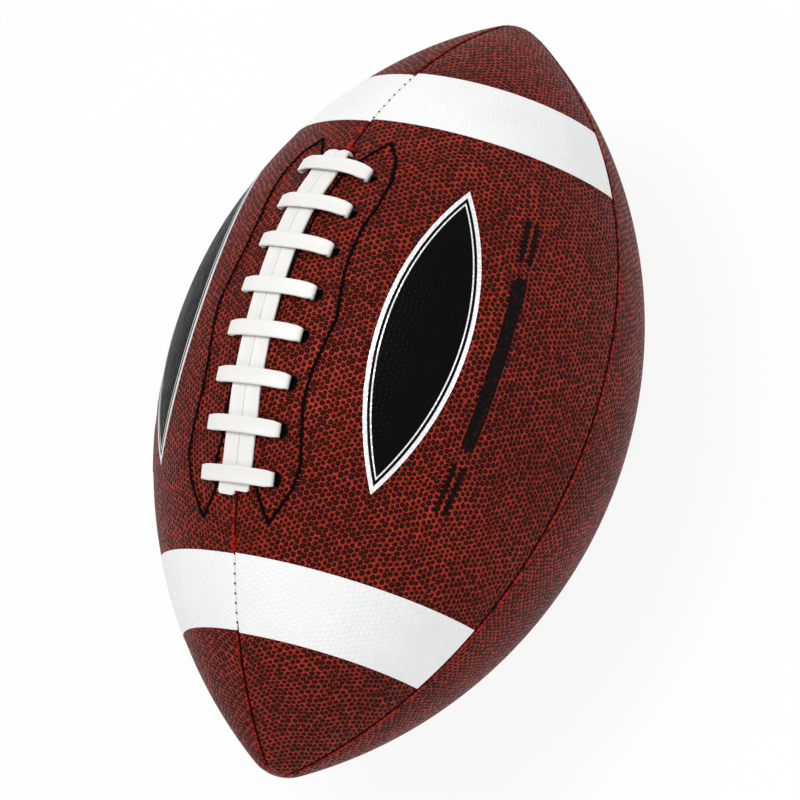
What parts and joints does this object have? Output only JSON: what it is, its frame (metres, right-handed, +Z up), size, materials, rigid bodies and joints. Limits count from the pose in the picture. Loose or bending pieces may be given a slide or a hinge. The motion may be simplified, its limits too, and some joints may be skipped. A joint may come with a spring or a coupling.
{
  "type": "american football",
  "caption": "Pointed oval ball with stitched pebbled panels, a white laced opening, end stripes, an inflatable bladder and a needle valve.",
  "frame": {"origin": "middle of the ball, on its long axis", "axes": "+X along the ball towards one tip, +Y to the left of the laces, +Z up through the laces"},
  "size_m": [0.2618, 0.1512, 0.1542],
  "materials": {
    "cover": "pebbled composite leather, dark pebbles over red",
    "lining": "woven backing cloth",
    "stripe": "satin white print",
    "foil": "black foil print",
    "thread": "waxed black thread",
    "lace": "flat white vinyl lace",
    "bladder": "butyl rubber",
    "valve": "moulded rubber"
  },
  "bodies": {
    "root": {"panel_laced_left": "cover", "panel_laced_right": "cover", "panel_lower_left": "cover", "panel_lower_right": "cover", "lining_laced_left": "lining", "lining_laced_right": "lining", "lining_lower_left": "lining", "lining_lower_right": "lining", "stripe_front_left": "stripe", "stripe_front_right": "stripe", "stripe_rear_left": "stripe", "stripe_rear_right": "stripe", "foil_panel_left": "foil", "foil_panel_right": "foil", "seam_thread_bottom": "thread", "seam_thread_left": "thread", "seam_thread_right": "thread", "seam_thread_top_front": "thread", "seam_thread_top_rear": "thread", "cross_lace": "lace", "long_lace": "lace", "lace_patch_left": "lining", "lace_patch_right": "lining", "patch_stitching_left": "thread", "patch_stitching_right": "thread", "lace_tongue": "lining", "bladder": "bladder", "valve_patch": "bladder", "valve_body": "valve", "valve_core": "valve"}
  },
  "joints": []
}
